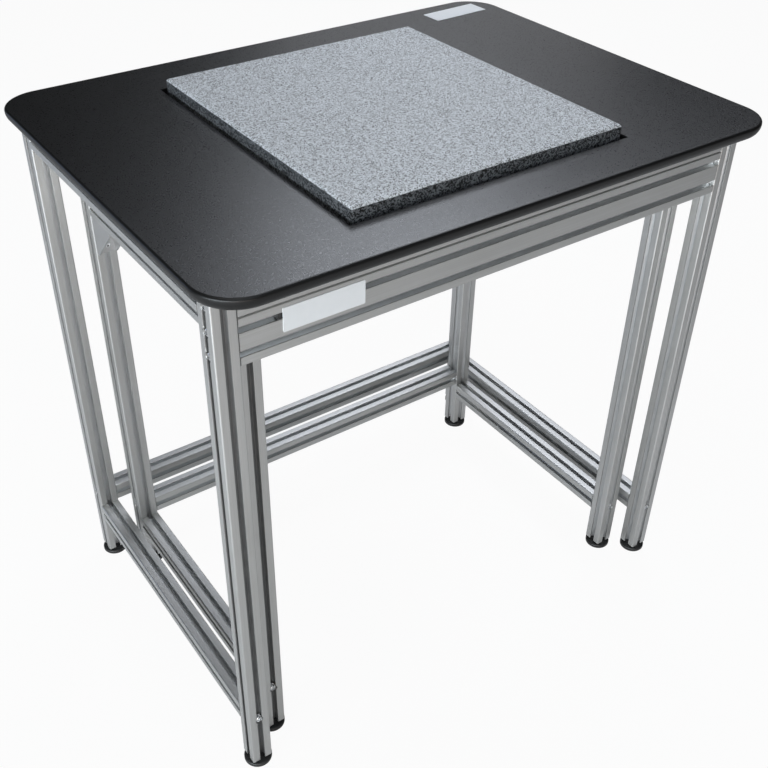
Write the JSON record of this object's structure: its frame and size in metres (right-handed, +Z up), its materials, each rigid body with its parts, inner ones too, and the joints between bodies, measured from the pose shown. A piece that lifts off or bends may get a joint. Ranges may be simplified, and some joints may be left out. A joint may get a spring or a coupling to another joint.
{
  "type": "anti-vibration table",
  "caption": "Bench for a laboratory balance: a dark worktop on a slotted aluminium frame, cut out round a stone slab that stands free on an inner stand.",
  "frame": {"origin": "on the floor, under the middle of the worktop", "axes": "+Z up, +X along the front edge to the right, -Y towards the front, where the deep apron is"},
  "size_m": [0.822, 0.624, 0.819],
  "materials": {
    "laminate_board": "matt black laminate",
    "profile_aluminium": "satin natural anodised",
    "cast_bracket": "blasted die casting",
    "granite": "speckled, flamed top",
    "buffer_rubber": "matt",
    "foot_plastic": "moulded, fine grain",
    "zinc_steel": "zinc plated"
  },
  "bodies": {
    "inner_stand": {"inner_leg_front_left": "profile_aluminium", "inner_leg_front_right": "profile_aluminium", "inner_leg_back_left": "profile_aluminium", "inner_leg_back_right": "profile_aluminium", "inner_top_rail_left": "profile_aluminium", "inner_top_rail_right": "profile_aluminium", "cross_rail_front": "profile_aluminium", "cross_rail_back": "profile_aluminium", "inner_low_rail_left": "profile_aluminium", "inner_low_rail_right": "profile_aluminium", "inner_low_rail_back": "profile_aluminium", "bracket_stand_front_left": "cast_bracket", "bracket_stand_front_right": "cast_bracket", "bracket_stand_back_left": "cast_bracket", "bracket_stand_back_right": "cast_bracket", "bracket_cross_front_left": "cast_bracket", "bracket_cross_front_right": "cast_bracket", "bracket_cross_back_left": "cast_bracket", "bracket_cross_back_right": "cast_bracket", "slab_buffer_front_left": "buffer_rubber", "slab_buffer_front_right": "buffer_rubber", "slab_buffer_back_left": "buffer_rubber", "slab_buffer_back_right": "buffer_rubber"},
    "stone_slab": {"granite_slab": "granite"},
    "outer_table": {"worktop": "laminate_board", "outer_leg_front_left": "profile_aluminium", "outer_leg_front_right": "profile_aluminium", "outer_leg_back_left": "profile_aluminium", "outer_leg_back_right": "profile_aluminium", "ring_rail_front": "profile_aluminium", "ring_rail_back": "profile_aluminium", "ring_rail_left": "profile_aluminium", "ring_rail_right": "profile_aluminium", "apron_front": "profile_aluminium", "outer_low_rail_left": "profile_aluminium", "outer_low_rail_right": "profile_aluminium", "outer_low_rail_back": "profile_aluminium", "bracket_ring_front_left": "cast_bracket", "bracket_ring_front_right": "cast_bracket", "bracket_ring_back_left": "cast_bracket", "bracket_ring_back_right": "cast_bracket"},
    "inner_pad_front_left": {"inner_foot_pad_front_left": "foot_plastic"},
    "inner_pad_front_right": {"inner_foot_pad_front_right": "foot_plastic"},
    "inner_pad_back_left": {"inner_foot_pad_back_left": "foot_plastic"},
    "inner_pad_back_right": {"inner_foot_pad_back_right": "foot_plastic"},
    "outer_pad_front_left": {"outer_foot_pad_front_left": "foot_plastic"},
    "outer_pad_front_right": {"outer_foot_pad_front_right": "foot_plastic"},
    "outer_pad_back_left": {"outer_foot_pad_back_left": "foot_plastic"},
    "outer_pad_back_right": {"outer_foot_pad_back_right": "foot_plastic"},
    "inner_stud_front_left": {"inner_foot_stud_front_left": "zinc_steel"},
    "inner_stud_front_right": {"inner_foot_stud_front_right": "zinc_steel"},
    "inner_stud_back_left": {"inner_foot_stud_back_left": "zinc_steel"},
    "inner_stud_back_right": {"inner_foot_stud_back_right": "zinc_steel"},
    "outer_stud_front_left": {"outer_foot_stud_front_left": "zinc_steel"},
    "outer_stud_front_right": {"outer_foot_stud_front_right": "zinc_steel"},
    "outer_stud_back_left": {"outer_foot_stud_back_left": "zinc_steel"},
    "outer_stud_back_right": {"outer_foot_stud_back_right": "zinc_steel"}
  },
  "joints": [
    {"name": "slab_lift", "type": "slide", "parent": "inner_stand", "child": "stone_slab", "axis": [0, 0, 1], "range_m": [0, 0.1]},
    {"name": "table_lift", "type": "slide", "parent": "inner_stand", "child": "outer_table", "axis": [0, 0, 1], "range_m": [0, 0.3]},
    {"name": "inner_foot_travel_front_left", "type": "slide", "parent": "inner_stand", "child": "inner_pad_front_left", "axis": [0, 0, -1], "range_m": [0, 0.0125]},
    {"name": "inner_foot_screw_front_left", "type": "hinge", "parent": "inner_pad_front_left", "child": "inner_stud_front_left", "pos_m": [-0.334, -0.2125, 0.012], "axis": [0, 0, -1], "range_deg": [0, 3600]},
    {"name": "inner_foot_travel_front_right", "type": "slide", "parent": "inner_stand", "child": "inner_pad_front_right", "axis": [0, 0, -1], "range_m": [0, 0.0125]},
    {"name": "inner_foot_screw_front_right", "type": "hinge", "parent": "inner_pad_front_right", "child": "inner_stud_front_right", "pos_m": [0.334, -0.2125, 0.012], "axis": [0, 0, -1], "range_deg": [0, 3600]},
    {"name": "inner_foot_travel_back_left", "type": "slide", "parent": "inner_stand", "child": "inner_pad_back_left", "axis": [0, 0, -1], "range_m": [0, 0.0125]},
    {"name": "inner_foot_screw_back_left", "type": "hinge", "parent": "inner_pad_back_left", "child": "inner_stud_back_left", "pos_m": [-0.334, 0.1965, 0.012], "axis": [0, 0, -1], "range_deg": [0, 3600]},
    {"name": "inner_foot_travel_back_right", "type": "slide", "parent": "inner_stand", "child": "inner_pad_back_right", "axis": [0, 0, -1], "range_m": [0, 0.0125]},
    {"name": "inner_foot_screw_back_right", "type": "hinge", "parent": "inner_pad_back_right", "child": "inner_stud_back_right", "pos_m": [0.334, 0.1965, 0.012], "axis": [0, 0, -1], "range_deg": [0, 3600]},
    {"name": "outer_foot_travel_front_left", "type": "slide", "parent": "outer_table", "child": "outer_pad_front_left", "axis": [0, 0, -1], "range_m": [0, 0.0125]},
    {"name": "outer_foot_screw_front_left", "type": "hinge", "parent": "outer_pad_front_left", "child": "outer_stud_front_left", "pos_m": [-0.379, -0.2525, 0.012], "axis": [0, 0, -1], "range_deg": [0, 3600]},
    {"name": "outer_foot_travel_front_right", "type": "slide", "parent": "outer_table", "child": "outer_pad_front_right", "axis": [0, 0, -1], "range_m": [0, 0.0125]},
    {"name": "outer_foot_screw_front_right", "type": "hinge", "parent": "outer_pad_front_right", "child": "outer_stud_front_right", "pos_m": [0.379, -0.2525, 0.012], "axis": [0, 0, -1], "range_deg": [0, 3600]},
    {"name": "outer_foot_travel_back_left", "type": "slide", "parent": "outer_table", "child": "outer_pad_back_left", "axis": [0, 0, -1], "range_m": [0, 0.0125]},
    {"name": "outer_foot_screw_back_left", "type": "hinge", "parent": "outer_pad_back_left", "child": "outer_stud_back_left", "pos_m": [-0.379, 0.2525, 0.012], "axis": [0, 0, -1], "range_deg": [0, 3600]},
    {"name": "outer_foot_travel_back_right", "type": "slide", "parent": "outer_table", "child": "outer_pad_back_right", "axis": [0, 0, -1], "range_m": [0, 0.0125]},
    {"name": "outer_foot_screw_back_right", "type": "hinge", "parent": "outer_pad_back_right", "child": "outer_stud_back_right", "pos_m": [0.379, 0.2525, 0.012], "axis": [0, 0, -1], "range_deg": [0, 3600]}
  ],
  "couplings": [
    {"joint": "inner_foot_screw_front_left", "follows": "inner_foot_travel_front_left", "rad_per_m": 5026.5},
    {"joint": "inner_foot_screw_front_right", "follows": "inner_foot_travel_front_right", "rad_per_m": 5026.5},
    {"joint": "inner_foot_screw_back_left", "follows": "inner_foot_travel_back_left", "rad_per_m": 5026.5},
    {"joint": "inner_foot_screw_back_right", "follows": "inner_foot_travel_back_right", "rad_per_m": 5026.5},
    {"joint": "outer_foot_screw_front_left", "follows": "outer_foot_travel_front_left", "rad_per_m": 5026.5},
    {"joint": "outer_foot_screw_front_right", "follows": "outer_foot_travel_front_right", "rad_per_m": 5026.5},
    {"joint": "outer_foot_screw_back_left", "follows": "outer_foot_travel_back_left", "rad_per_m": 5026.5},
    {"joint": "outer_foot_screw_back_right", "follows": "outer_foot_travel_back_right", "rad_per_m": 5026.5}
  ]
}
